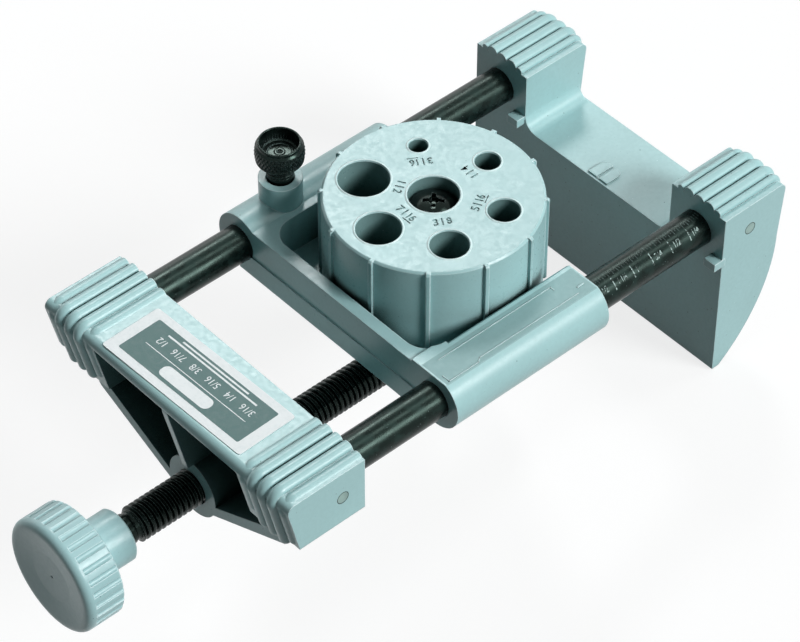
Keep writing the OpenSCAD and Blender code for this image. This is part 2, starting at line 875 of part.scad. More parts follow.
module clamp_pad() {
  color([0.66, 0.78, 0.79])
    translate([0, 0, screw_z])
      difference() {
        turned_x()
          polygon([
            [0, pad_x0], [pad_d * 0.34, pad_x0], [pad_d * 0.34, pad_x0 + 2],
            [pad_d / 2, pad_x0 + 2.6], [pad_d / 2, pad_x1 - 0.6],
            [pad_d / 2 - 0.6, pad_x1], [0, pad_x1]
          ]);
        xcyl(nose_d / 2 + run_gap, pad_x0 - 1, pad_x1 + 1);
        xcyl(pad_bore_d / 2, pad_x1 - pad_bore_h, pad_x1 + 1);
      }
}

module pad_clip() {
  g = nose_d / 2 - 0.5;
  color([0.30, 0.32, 0.32])
    translate([0, 0, screw_z])
      difference() {
        xcyl(pad_bore_d / 2 - 0.5, clip_x0, clip_x1);
        xcyl(g + press_gap, clip_x0 - 1, clip_x1 + 1);
        translate([clip_x0 - 1, -g * 0.8, -pad_bore_d])
          cube([clip_t + 2, g * 1.6, pad_bore_d]);
      }
}

fixed_jaw();
screw_bracket();
scale_rod();
plain_rod();
scale_rod_jaw_pin();
plain_rod_jaw_pin();
scale_rod_bracket_pin();
plain_rod_bracket_pin();
label_plate();
carriage();
turret();
turret_screw();
turret_washer();
turret_cone_washer();
thumbscrew();
lock_plug();
lead_screw();
knob();
clamp_pad();
pad_clip();
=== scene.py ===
import math

import bmesh
import bpy
import numpy as np
from mathutils import Matrix, Vector


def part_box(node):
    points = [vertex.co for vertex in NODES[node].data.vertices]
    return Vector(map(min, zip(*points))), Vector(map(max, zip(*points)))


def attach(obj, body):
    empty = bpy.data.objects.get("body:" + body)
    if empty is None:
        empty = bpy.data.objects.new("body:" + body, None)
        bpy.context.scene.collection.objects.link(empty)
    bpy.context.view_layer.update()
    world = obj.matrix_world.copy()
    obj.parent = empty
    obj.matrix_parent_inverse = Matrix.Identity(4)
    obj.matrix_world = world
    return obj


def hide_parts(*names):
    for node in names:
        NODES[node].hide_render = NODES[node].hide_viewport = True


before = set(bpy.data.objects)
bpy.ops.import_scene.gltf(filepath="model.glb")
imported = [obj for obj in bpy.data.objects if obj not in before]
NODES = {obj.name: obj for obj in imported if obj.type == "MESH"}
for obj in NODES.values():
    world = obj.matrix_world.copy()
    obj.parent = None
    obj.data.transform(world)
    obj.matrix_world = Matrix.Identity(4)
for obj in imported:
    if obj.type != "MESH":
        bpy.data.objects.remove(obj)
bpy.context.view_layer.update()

MM = 0.001
INCH = 25.4


# Places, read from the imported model, in millimetres
def span(node):
    """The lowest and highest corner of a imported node, in millimetres."""
    low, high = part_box(node)
    return low / MM, high / MM


TURRET_TOP = span("turret")[1].z
ROD_LOW, ROD_HIGH = span("scale_rod")
ROD_R = (ROD_HIGH.z - ROD_LOW.z) / 2
ROD_Y = (ROD_HIGH.y + ROD_LOW.y) / 2
ROD_Z = (ROD_HIGH.z + ROD_LOW.z) / 2
SCREW_LOW, SCREW_HIGH = span("lead_screw")
SCREW_Z = (SCREW_HIGH.z + SCREW_LOW.z) / 2
HUB_END = span("knob")[1].x
LOCK_LOW, LOCK_HIGH = span("thumbscrew")
LABEL_LOW, LABEL_HIGH = span("label_plate")

# The fixed jaw's face, which lies this far behind the tips of its stop lugs
LUG_OUT = 2.8
JAW_FACE = span("fixed_jaw")[0].x + LUG_OUT

# The turret's holes: angle round its axis, diameter, the two figures of the engraved size
# and how far from the axis that size stands
HOLE_PITCH_R = 17.6
COUNTERBORE_D = 12.7
HOLES = [
    (0, INCH / 4, "1", "4", 11.7),
    (-60, INCH * 5 / 16, "5", "16", 10.9),
    (-120, INCH * 3 / 8, "3", "8", 9.6),
    (180, INCH * 7 / 16, "7", "16", 9.3),
    (120, INCH / 2, "1", "2", 8.6),
    (60, INCH * 3 / 16, "3", "16", 11.8),
]

# The flat index panel on the carriage's near tube: how far it lies below the tube's top,
# its height, its two ends along X and its two sides along Y
PANEL_DROP = 0.9
PANEL_Z = 2 * ROD_Z - PANEL_DROP
PANEL_ENDS = (-31, HOLE_PITCH_R - 0.4)
PANEL_SIDES = (-42, -30.2)

# Depths under the turret's top where the painted shade on a hole's wall starts and is darkest
HOLE_MOUTH = 0.3
HOLE_DARK = 14


# Materials
def rgb(r, g, b):
    return (r, g, b, 1.0)


def scaled(colour, factor):
    """A colour made lighter or darker, with no part of it over 1."""
    return rgb(*(min(1, c * factor) for c in colour[:3]))


def add_node(tree, kind, inputs=None, **settings):
    """A new node in a tree. Each input is linked where it is a socket, or else set."""
    node = tree.nodes.new(kind)
    for key, value in settings.items():
        setattr(node, key, value)
    for key, value in (inputs or {}).items():
        if isinstance(value, bpy.types.NodeSocket):
            tree.links.new(value, node.inputs[key])
        else:
            node.inputs[key].default_value = value
    return node


class Graph:
    """A material with a principled shader, and short names for the nodes that feed it."""

    def __init__(self, name, **fixed):
        self.material = bpy.data.materials.new(name)
        self.material.use_nodes = True
        self.tree = self.material.node_tree
        self.tree.nodes.clear()
        values = {socket.replace("_", " "): value for socket, value in fixed.items()}
        self.shader = self.add("ShaderNodeBsdfPrincipled", values)
        self.add("ShaderNodeOutputMaterial", {"Surface": self.shader.outputs["BSDF"]})
        self.place = self.add("ShaderNodeTexCoord").outputs["Object"]

    def add(self, kind, inputs=None, **settings):
        return add_node(self.tree, kind, inputs, **settings)

    def feed(self, socket, value):
        self.tree.links.new(value, self.shader.inputs[socket])

    def noise(self, scale, detail, stretch=None):
        """Soft noise about 0.5, stretched along an axis where its factor is below 1."""
        place = self.place
        if stretch:
            inputs = {0: place, 1: stretch}
            place = self.add("ShaderNodeVectorMath", inputs, operation="MULTIPLY").outputs[0]
        inputs = {"Vector": place, "Scale": scale, "Detail": detail}
        return self.add("ShaderNodeTexNoise", inputs).outputs["Fac"]

    def maths(self, operation, a, b=0.0):
        return self.add("ShaderNodeMath", {0: a, 1: b}, operation=operation).outputs[0]

    def scale(self, value, factor):
        return self.maths("MULTIPLY", value, factor)

    def between(self, value, low, high, to_low=0.0, to_high=1.0):
        """A smooth step from to_low, where the value is low, to to_high, where it is high."""
        inputs = {0: value, 1: low, 2: high, 3: to_low, 4: to_high}
        node = self.add("ShaderNodeMapRange", inputs, interpolation_type="SMOOTHSTEP")
        return node.outputs[0]

    def blend(self, factor, a, b):
        """Colour a where the factor is 0, and colour b where it is 1."""
        return self.add("ShaderNodeMix", {0: factor, 6: a, 7: b}, data_type="RGBA").outputs[2]

    def specks(self, scale, size, share):
        """Round specks: one in some cells of a pattern, as a mask."""
        inputs = {"Vector": self.place, "Scale": scale, "Randomness": 1.0}
        cells = self.add("ShaderNodeTexVoronoi", inputs)
        lot = self.add("ShaderNodeSeparateColor", {0: cells.outputs["Color"]}).outputs[0]
        near = self.between(cells.outputs["Distance"], size, size * 0.6)
        chosen = self.between(lot, 1 - share, 1.001 - share)
        return self.maths("MULTIPLY", near, chosen)

    def edges(self, radius):
        """A mask of the outer and inner edges, and the softened normal there."""
        soft = self.add("ShaderNodeBevel", {"Radius": radius * MM}, samples=6).outputs[0]
        plain = self.add("ShaderNodeNewGeometry").outputs["Normal"]
        inputs = {0: soft, 1: plain}
        same = self.add("ShaderNodeVectorMath", inputs, operation="DOT_PRODUCT").outputs["Value"]
        return self.between(self.maths("SUBTRACT", 1.0, same), 0.01, 0.16), soft

    def hollows(self, reach):
        """How open each place is to its surroundings, from 0 to 1."""
        inputs = {"Distance": reach * MM}
        return self.add("ShaderNodeAmbientOcclusion", inputs, samples=6).outputs["AO"]

    def axes(self):
        """The three coordinates of each place, in metres."""
        return self.add("ShaderNodeSeparateXYZ", {0: self.place}).outputs

    def inside(self, low, high):
        """A mask of the points inside a box, in millimetres."""
        place = self.axes()
        mask = 1.0
        for axis in range(3):
            above = self.maths("GREATER_THAN", place[axis], low[axis] * MM)
            below = self.maths("LESS_THAN", place[axis], high[axis] * MM)
            mask = self.maths("MULTIPLY", self.maths("MULTIPLY", above, below), mask)
        return mask

    def down_holes(self, radius, top, start, end):
        """A mask of painted shade on the hole walls within a radius about Z: start just under the top
        face and end far below.
        """
        place = self.axes()
        squares = [self.maths("MULTIPLY", place[axis], place[axis]) for axis in range(2)]
        near = self.maths("LESS_THAN", self.maths("ADD", *squares), (radius * MM) ** 2)
        mouth = (top - HOLE_MOUTH) * MM
        depth = self.between(place[2], mouth, (top - HOLE_DARK) * MM, start, end)
        below = self.maths("LESS_THAN", place[2], mouth)
        return self.maths("MULTIPLY", self.maths("MULTIPLY", near, below), depth)

    def bump(self, height, strength, distance, normal=None):
        inputs = {"Height": height, "Strength": strength, "Distance": distance * MM}
        if normal:
            inputs["Normal"] = normal
        return self.add("ShaderNodeBump", inputs).outputs[0]


# Colours of the casting; of its worn edges and pale dust, the edges lightened further as a painted
# highlight; of its pits, grain, duller panel and painted shade in hollows and holes; and of the near
# black painted shade in its deepest hollows and grooves
TEAL = rgb(0.350, 0.565, 0.575)
PALE_WEAR_AND_HIGHLIGHT = rgb(0.78, 0.91, 0.93)
DEEP = rgb(0.040, 0.090, 0.083)
DEEPEST_SHADE = rgb(0.006, 0.014, 0.012)

# How far the painted shade in a groove reaches from its walls
GROOVE_REACH = 0.6


def cast_alloy(
    name, colour, shade, roughness=0.31, pits=0.18, edge=0.35, dust=0.07, panel=None, holes=None
):
    """Satin finished die casting: broad tone changes, fine grain, small pits, and bright edges,
    partly wear and partly a painted highlight, with painted shade in its hollows.

    The shade is how far a hollow's painted shade reaches, how open the places are where it is
    full, and how open those where it ends; it also weakens reflections there. The panel is a box
    with a duller face. The holes are what down_holes takes.
    """
    paint = Graph(name, Metallic=0.0)
    broad = paint.noise(scale=38, detail=3)
    fine = paint.noise(scale=950, detail=4)
    grit = paint.noise(scale=3300, detail=2)
    tone = paint.blend(paint.between(broad, 0.3, 0.7), colour, scaled(colour, 1.06))
    tone = paint.blend(paint.between(fine, 0.25, 0.75, 0.0, 0.06), tone, DEEP)
    rough = paint.between(fine, 0.2, 0.8, roughness - 0.05, roughness + 0.08)
    if panel:
        flat = paint.inside(*panel)
        tone = paint.blend(paint.scale(flat, 0.30), tone, DEEP)
        rough = paint.maths("ADD", rough, paint.scale(flat, 0.16))
    # Painted shade down the turret's hole walls, darker the deeper
    if holes:
        tone = paint.blend(paint.down_holes(*holes), tone, DEEP)

    # Wear and painted highlight on the edges, then pits and dust
    mask, soft = paint.edges(edge)
    wear = paint.maths("MULTIPLY", mask, paint.between(fine, 0.28, 0.55, 0.40, 0.90))
    tone = paint.blend(wear, tone, PALE_WEAR_AND_HIGHLIGHT)
    dark = paint.specks(scale=430, size=0.085, share=pits)
    faint = paint.specks(scale=1150, size=0.16, share=pits * 0.8)
    marks = paint.maths("MAXIMUM", dark, paint.scale(faint, 0.35))
    tone = paint.blend(paint.scale(marks, 0.6), tone, DEEP)
    pale = paint.specks(scale=760, size=0.10, share=dust)
    tone = paint.blend(paint.scale(pale, 0.6), tone, PALE_WEAR_AND_HIGHLIGHT)

    # Painted shade in the hollows, then near black painted shade in the deepest of them and in narrow
    # grooves
    reach, closed, opened = shade
    halfway = (closed + opened) / 2
    sky = paint.hollows(reach)
    tone = paint.blend(paint.between(sky, closed, opened, 0.80, 0.0), tone, DEEP)
    tone = paint.blend(paint.between(sky, closed * 0.5, halfway, 0.94, 0.0), tone, DEEPEST_SHADE)
    groove = paint.between(paint.hollows(GROOVE_REACH), 0.26, 0.44, 0.96, 0.0)
    tone = paint.blend(groove, tone, DEEPEST_SHADE)

    paint.feed("Base Color", tone)
    paint.feed("Roughness", rough)
    # Reflections are weakened in the hollows too, a painted shade on them
    paint.feed("Specular IOR Level", paint.between(sky, closed, opened + 0.1, 0.03, 0.36))
    height = paint.maths("ADD", fine, paint.scale(grit, 0.6))
    height = paint.maths("SUBTRACT", height, paint.scale(dark, 2.0))
    paint.feed("Normal", paint.bump(height, strength=0.045, distance=0.10, normal=soft))
    return paint.material


BLACK_TINT = rgb(0.66, 1.0, 0.88)
BLACK_DUST = rgb(0.24, 0.33, 0.33)
BLACK_WORN = rgb(0.20, 0.28, 0.28)


def black_steel(name, tone, grey, roughness, streak=(0.7, 1.0, 1.0), dust=0.16):
    """Black oxide steel: mottled, with pale dust and worn edges, its grain drawn out by streak."""
    paint = Graph(name, Metallic=0.0, Specular_IOR_Level=0.20, Specular_Tint=BLACK_TINT)
    mottle = paint.noise(scale=420, detail=5, stretch=streak)
    fine = paint.noise(scale=2100, detail=4, stretch=streak)
    base = paint.blend(paint.between(mottle, 0.42, 0.68), tone, grey)
    pale = paint.specks(scale=1300, size=0.13, share=dust)
    base = paint.blend(paint.scale(pale, 0.65), base, BLACK_DUST)
    mask, soft = paint.edges(0.25)
    wear = paint.maths("MULTIPLY", mask, paint.between(fine, 0.4, 0.62, 0.0, 0.55))
    base = paint.blend(wear, base, BLACK_WORN)
    paint.feed("Base Color", base)
    paint.feed("Roughness", paint.between(mottle, 0.3, 0.7, roughness - 0.04, roughness + 0.06))
    paint.feed("Normal", paint.bump(fine, strength=0.10, distance=0.06, normal=soft))
    return paint.material


def bright_steel(name, tone, roughness):
    """Bright steel or brass, with a fine grain, a little tarnish and brighter edges."""
    paint = Graph(name, Metallic=0.75)
    fine = paint.noise(scale=1800, detail=4)
    stain = paint.noise(scale=260, detail=3)
    base = paint.blend(paint.between(stain, 0.35, 0.75), tone, scaled(tone, 0.72))
    mask, soft = paint.edges(0.2)
    paint.feed("Base Color", paint.blend(mask, base, scaled(tone, 1.3)))
    paint.feed("Roughness", paint.between(fine, 0.2, 0.8, roughness - 0.06, roughness + 0.1))
    paint.feed("Normal", paint.bump(fine, strength=0.08, distance=0.05, normal=soft))
    return paint.material


def ink(name, tone, worn, roughness, patchy):
    """Printed or filled lines, worn through in places, more of them the more patchy it is."""
    paint = Graph(name, Metallic=0.0, Specular_IOR_Level=0.3)
    wear = paint.noise(scale=1500, detail=3)
    spots = paint.between(wear, 0.62 - 0.24 * patchy, 0.70 - 0.16 * patchy)
    paint.feed("Base Color", paint.blend(spots, tone, worn))
    paint.feed("Roughness", paint.between(wear, 0.2, 0.8, roughness - 0.05, roughness + 0.1))
    paint.feed("Normal", paint.bump(wear, strength=0.08, distance=0.03))
    return paint.material


# The box round the flat panel, whose face is duller
PANEL_BOX = (
    (PANEL_ENDS[0], PANEL_SIDES[0], PANEL_Z - 0.1),
    (PANEL_ENDS[1], PANEL_SIDES[1], PANEL_Z + 0.1),
)
# The radius within which the turret's holes lie, its top, and how dark their painted shade is at the
# mouth and far down
TURRET_HOLE_SHADE = (25.6, TURRET_TOP, 0.62, 0.98)
# A grain that isn't drawn out
EVEN = (1, 1, 1)

BRACKET_METAL = cast_alloy("bracket_finish", TEAL, (32, 0.24, 0.72))
CARRIAGE_METAL = cast_alloy("carriage_finish", TEAL, (10, 0.10, 0.46), panel=PANEL_BOX)
TURRET_METAL = cast_alloy(
    "turret_finish", TEAL, (9, 0.12, 0.44), 0.30, 0.10, 0.4, holes=TURRET_HOLE_SHADE
)
# The lips round the holes: a lighter copy of the casting, as a painted highlight
LIP_HIGHLIGHT_METAL = cast_alloy("hole_lip_highlight", rgb(0.62, 0.80, 0.80), (3, 0.05, 0.30), 0.30, 0.05, 0.2)
KNOB_METAL = cast_alloy("knob_finish", rgb(0.32, 0.515, 0.53), (8, 0.10, 0.45), 0.32, 0.3)
JAW_METAL = cast_alloy("jaw_finish", TEAL, (12, 0.16, 0.52), 0.32, 0.28, dust=0.20)
PAD_METAL = cast_alloy("pad_finish", rgb(0.36, 0.56, 0.56), (10, 0.14, 0.52))
ROD_BLACK = black_steel("black_rod_finish", rgb(0.002, 0.0045, 0.004), rgb(0.008, 0.018, 0.016), 0.27)
SCREW_BLACK = black_steel(
    "black_screw_finish", rgb(0.0015, 0.003, 0.0027), rgb(0.004, 0.008, 0.007), 0.20, EVEN, 0.03
)
HEAD_BLACK = black_steel(
    "black_head_finish", rgb(0.002, 0.003, 0.003), rgb(0.005, 0.008, 0.007), 0.16, EVEN, 0.03
)
PIN_STEEL = bright_steel("pin_finish", rgb(0.30, 0.44, 0.41), 0.34)
WASHER_STEEL = bright_steel("washer_finish", rgb(0.45, 0.52, 0.52), 0.3)
SPRING_STEEL = bright_steel("spring_finish", rgb(0.30, 0.34, 0.34), 0.28)
BRASS = bright_steel("brass_finish", rgb(0.72, 0.55, 0.22), 0.3)
FOIL = ink("label_foil", rgb(0.70, 0.75, 0.76), rgb(0.67, 0.73, 0.74), 0.38, 0.3)
FIELD = ink("label_field_ink", rgb(0.068, 0.145, 0.140), rgb(0.075, 0.155, 0.150), 0.45, 0.4)
# The engraved figures' cuts: dark, as a painted shade in them, lighter in worn patches
ENGRAVING_SHADE = ink("engraving_shade", rgb(0.090, 0.170, 0.165), rgb(0.30, 0.50, 0.50), 0.5, 0.75)
SEAM_INK = ink("seam_dirt", rgb(0.020, 0.042, 0.038), rgb(0.050, 0.095, 0.090), 0.5, 0.4)
SCALE_INK = ink("scale_ink", rgb(0.42, 0.56, 0.54), rgb(0.006, 0.012, 0.011), 0.5, 0.76)
FINE_INK = ink("fine_scale_ink", rgb(0.045, 0.075, 0.070), rgb(0.008, 0.014, 0.013), 0.5, 0.7)

FINISHES = {
    "fixed_jaw": JAW_METAL,
    "screw_bracket": BRACKET_METAL,
    "scale_rod": ROD_BLACK,
    "plain_rod": ROD_BLACK,
    "scale_rod_jaw_pin": PIN_STEEL,
    "plain_rod_jaw_pin": PIN_STEEL,
    "scale_rod_bracket_pin": PIN_STEEL,
    "plain_rod_bracket_pin": PIN_STEEL,
    "label_plate": FOIL,
    "carriage": CARRIAGE_METAL,
    "turret": TURRET_METAL,
    "turret_screw": HEAD_BLACK,
    "turret_washer": WASHER_STEEL,
    "turret_cone_washer": SPRING_STEEL,
    "thumbscrew": SCREW_BLACK,
    "lock_plug": BRASS,
    "lead_screw": SCREW_BLACK,
    "knob": KNOB_METAL,
    "clamp_pad": PAD_METAL,
    "pad_clip": SPRING_STEEL,
}


def finish_nodes():
    for node, material in FINISHES.items():
        for slot in NODES[node].material_slots:
            slot.material = material


# Mesh helpers, which take and give points in millimetres
def make(name, points, faces, material, sharp=32):
    mesh = bpy.data.meshes.new(name)
    mesh.from_pydata([tuple(c * MM for c in p) for p in points], [], faces)
    mesh.validate()
    mesh.materials.append(material)
    mesh.shade_smooth()
    mesh.set_sharp_from_angle(angle=math.radians(sharp))
    obj = bpy.data.objects.new(name, mesh)
    bpy.context.scene.collection.objects.link(obj)
    return obj


def placed(points, matrix):
    return [tuple(matrix @ Vector(p)) for p in points]


def shifted(solid, x, y, z):
    points, faces = solid
    return [(px + x, py + y, pz + z) for px, py, pz in points], faces


def joined(solids):
    points, faces = [], []
    for more_points, more_faces in solids:
        first = len(points)
        points += list(more_points)
        faces += [[v + first for v in face] for face in more_faces]
    return points, faces


def lathe(profile, count, relief=None):
    """A closed turned body about Z: its profile runs from low to high, (radius, height)."""
    points, rows = [], []
    for radius, height in profile:
        if radius <= 0:
            rows.append([len(points)] * count)
            points.append((0.0, 0.0, height))
            continue
        row = []
        for i in range(count):
            angle = math.tau * i / count
            r = radius + (relief(angle, height) if relief else 0.0)
            row.append(len(points))
            points.append((r * math.cos(angle), r * math.sin(angle), height))
        rows.append(row)
    faces = []
    for low, high in zip(rows, rows[1:]):
        for i in range(count):
            j = (i + 1) % count
            loop = [low[i], low[j], high[j], high[i]]
            face = [v for n, v in enumerate(loop) if v != loop[n - 1]]
            if len(face) > 2:
                faces.append(face)
    return points, faces


def ring(profile, count):
    """A closed ring about Z: its profile is a loop, counterclockwise in (radius, height)."""
    points = []
    for r, height in profile:
        for i in range(count):
            angle = math.tau * i / count
            points.append((r * math.cos(angle), r * math.sin(angle), height))
    faces = []
    for k in range(len(profile)):
        row = k * count
        next_row = (k + 1) % len(profile) * count
        for i in range(count):
            j = (i + 1) % count
            faces.append([row + i, row + j, next_row + j, next_row + i])
    return points, faces


def block(low, high):
    x0, y0, z0 = low
    x1, y1, z1 = high
    corners = ((x0, y0), (x1, y0), (x1, y1), (x0, y1))
    return raised(corners, z0, z1)


def raised(outline, low, high):
    """An outline in XY, counterclockwise, raised from one height to another."""
    n = len(outline)
    points = [(x, y, z) for z in (low, high) for x, y in outline]
    faces = [list(range(n - 1, -1, -1)), list(range(n, 2 * n))]
    faces += [[k, (k + 1) % n, n + (k + 1) % n, n + k] for k in range(n)]
    return points, faces


def rounded(low, high, radius, bottom, top, steps=6):
    """A flat plate with round corners, between two corners in XY and two heights."""
    x0, y0 = low
    x1, y1 = high
    r = radius
    corners = ((x1 - r, y1 - r, 0), (x0 + r, y1 - r, 90), (x0 + r, y0 + r, 180), (x1 - r, y0 + r, 270))
    outline = []
    for x, y, start in corners:
        for k in range(steps + 1):
            angle = math.radians(start + 90 * k / steps)
            outline.append((x + r * math.cos(angle), y + r * math.sin(angle)))
    return raised(outline, bottom, top)


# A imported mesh's points are joined where they match to half a micrometre
MATCHES_PER_METRE = 2e6


def welded(node):
    """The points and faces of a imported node, its split points joined."""
    mesh = NODES[node].data
    seen, points, index = {}, [], []
    for vertex in mesh.vertices:
        key = tuple(round(c * MATCHES_PER_METRE) for c in vertex.co)
        if key not in seen:
            seen[key] = len(points)
            points.append(tuple(c / MM for c in vertex.co))
        index.append(seen[key])
    faces = []
    for polygon in mesh.polygons:
        face = [index[v] for v in polygon.vertices]
        if len(set(face)) == len(face):
            faces.append(face)
    return points, faces


# Height of a capital as a share of the font's size
CAPITAL_SHARE = 0.70


def letters(text, height, depth, squeeze=1.0, bold=0.0):
    """Solid figures about the origin, lying in XY, their faces at plus and minus depth.

    The squeeze narrows them, and bold is how much wider each stroke is on either side.
    """
    curve = bpy.data.curves.new("figures", "FONT")
    curve.body = text
    curve.size = height / CAPITAL_SHARE
    curve.extrude = depth
    curve.offset = bold
    curve.resolution_u = 4
    curve.align_x = "CENTER"
    holder = bpy.data.objects.new("figures", curve)
    bpy.context.scene.collection.objects.link(holder)
    graph = bpy.context.evaluated_depsgraph_get()
    mesh = bpy.data.meshes.new_from_object(holder.evaluated_get(graph))
    bpy.data.objects.remove(holder)
    bpy.data.curves.remove(curve)
    bm = bmesh.new()
    bm.from_mesh(mesh)
    bmesh.ops.remove_doubles(bm, verts=bm.verts, dist=1e-4)
    bm.verts.index_update()
    points = [tuple(vertex.co) for vertex in bm.verts]
    faces = [[vertex.index for vertex in face.verts] for face in bm.faces]
    bm.free()
    bpy.data.meshes.remove(mesh)
    across = [p[0] for p in points]
    upwards = [p[1] for p in points]
    middle_x = (min(across) + max(across)) / 2
    middle_y = (min(upwards) + max(upwards)) / 2
    return [((x - middle_x) * squeeze, y - middle_y, z) for x, y, z in points], faces


def carve(obj, cutter):
    """Cuts one object's solids out of another and keeps the cutter's material in the cuts."""
    cut = obj.modifiers.new("cut", "BOOLEAN")
    cut.operation = "DIFFERENCE"
    cut.solver = "EXACT"
    cut.material_mode = "TRANSFER"
    cut.object = cutter
    graph = bpy.context.evaluated_depsgraph_get()
    mesh = bpy.data.meshes.new_from_object(obj.evaluated_get(graph))
    obj.modifiers.clear()
    obj.data = mesh
    bpy.data.objects.remove(cutter)
    mesh.shade_smooth()
    mesh.set_sharp_from_angle(angle=math.radians(24))


# Turret: the imported solid with its sizes engraved, their cuts dark with painted shade, and a soft
# lip round each hole, lighter as a painted highlight
FIGURE_H = 2.1
FIGURE_DEPTH = 0.22
FIGURE_BOLD = 0.05
# A size is a row: its first figure, a bar in the middle and its second figure, so far along
FIRST_SHIFT = -1.65
SECOND_SHIFT = 1.65
SIXTEEN_SHIFT = 2.35
SECOND_SQUEEZE = 0.85
BAR_W = 0.34
BAR_OVER = 0.15
UNDERLINE_HALF = 1.4
UNDERLINE_W = 0.25
UNDERLINE_DROP = 0.45
# A lip's gap to the hole's edge, its width, and its height above and depth below the top
LIP_GAP = 0.16
LIP_W = 0.48
LIP_H = 0.12
LIP_SINK = 0.06


def size_figures(numerator, denominator):
    """One engraved size in a row: figure, bar and figure, with a line under a sixteen."""
    wide = denominator == "16"
    shift = SIXTEEN_SHIFT if wide else SECOND_SHIFT
    first = letters(numerator, FIGURE_H, FIGURE_DEPTH, 1.0, FIGURE_BOLD)
    second = letters(denominator, FIGURE_H, FIGURE_DEPTH, SECOND_SQUEEZE, FIGURE_BOLD)
    half = FIGURE_H / 2 + BAR_OVER
    bar = block((-BAR_W / 2, -half, -FIGURE_DEPTH), (BAR_W / 2, half, FIGURE_DEPTH))
    solids = [shifted(first, FIRST_SHIFT, 0, 0), bar, shifted(second, shift, 0, 0)]
    if wide:
        y = -FIGURE_H / 2 - UNDERLINE_DROP
        low = (shift - UNDERLINE_HALF, y - UNDERLINE_W, -FIGURE_DEPTH)
        solids.append(block(low, (shift + UNDERLINE_HALF, y, FIGURE_DEPTH)))
    return joined(solids)


def on_turret_top(degrees, radius):
    angle = math.radians(degrees)
    return Vector((radius * math.cos(angle), radius * math.sin(angle), TURRET_TOP))


def engraved_sizes():
    """Every hole's size, its foot towards its hole."""
    solids = []
    for degrees, _, numerator, denominator, radius in HOLES:
        angle = math.radians(degrees)
        along = Vector((-math.sin(angle), math.cos(angle), 0))
        up = Vector((-math.cos(angle), -math.sin(angle), 0))
        turn = Matrix((along, up, Vector((0, 0, 1)))).transposed().to_4x4()
        place = Matrix.Translation(on_turret_top(degrees, radius)) @ turn
        points, faces = size_figures(numerator, denominator)
        solids.append((placed(points, place), faces))
    return joined(solids)


def lip(centre, radius):
    """A low round lip, a little outside a hole's edge."""
    inner = radius + LIP_GAP
    outer = inner + LIP_W
    profile = [(inner, -LIP_SINK), (outer, -LIP_SINK), (outer, 0.0)]
    for k in range(1, 8):
        share = k / 8
        height = LIP_H * math.sin(math.pi * share * 0.55) ** 2
        profile.append((inner + LIP_W * (1 - share), height))
    profile += [(inner + 0.03, LIP_H * 0.9), (inner, LIP_H * 0.7)]
    points, faces = ring(profile, 72)
    return placed(points, Matrix.Translation(centre)), faces


def make_turret():
    body = make("turret_block", *welded("turret"), TURRET_METAL)
    carve(body, make("turret_cutter", *engraved_sizes(), ENGRAVING_SHADE))
    lips = [lip(on_turret_top(hole[0], HOLE_PITCH_R), hole[1] / 2) for hole in HOLES]
    lips.append(lip(on_turret_top(0, 0), COUNTERBORE_D / 2))
    rims = make("turret_hole_lips", *joined(lips), LIP_HIGHLIGHT_METAL, sharp=50)
    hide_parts("turret")
    for piece in (body, rims):
        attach(piece, "turret")


# The chamfer at the ends of both screws
END_CHAMFER = 0.4

# Lock screw: knurled head, stepped neck and plain shank
KNURLS = 40
KNURL_DEPTH = 0.315
# Height that one knurl takes, and the knurled band's two edges below the head's top
KNURL_H = 1.7
BAND_DROPS = (5.4, 1.3)
BAND_ROWS = 17
BAND_BULGE = 0.30
SHANK_R = 3.1
# Points of the neck from the shank up to the head: radius, and depth below the head's top
NECK = [
    (SHANK_R, 10.8), (3.45, 10.6), (3.45, 9.9), (3.2, 9.75), (3.2, 9.55), (3.6, 9.4),
    (3.6, 8.9), (3.35, 8.75), (3.35, 8.55), (3.8, 8.3), (4.5, 7.2), (5.3, 6.1),
]
# Points of the head's rim and dish: distance in from its edge, and depth below its top
DISH = [
    (0.55, 1.05), (0.8, 0.8), (0.85, 0.25), (1.0, 0.05), (1.2, 0), (1.4, 0.12),
    (1.55, 0.6), (1.7, 3.1), (2.0, 3.4), (2.6, 3.45), (2.75, 3.3), (3.1, 3.3), (3.25, 3.45),
]
# Points of the ring and the centre mark in the dish: radius, and depth below the top
DISH_CENTRE = [(1.6, 3.45), (1.45, 3.3), (1.0, 3.3), (0.85, 3.45), (0.35, 3.5), (0, 3.9)]


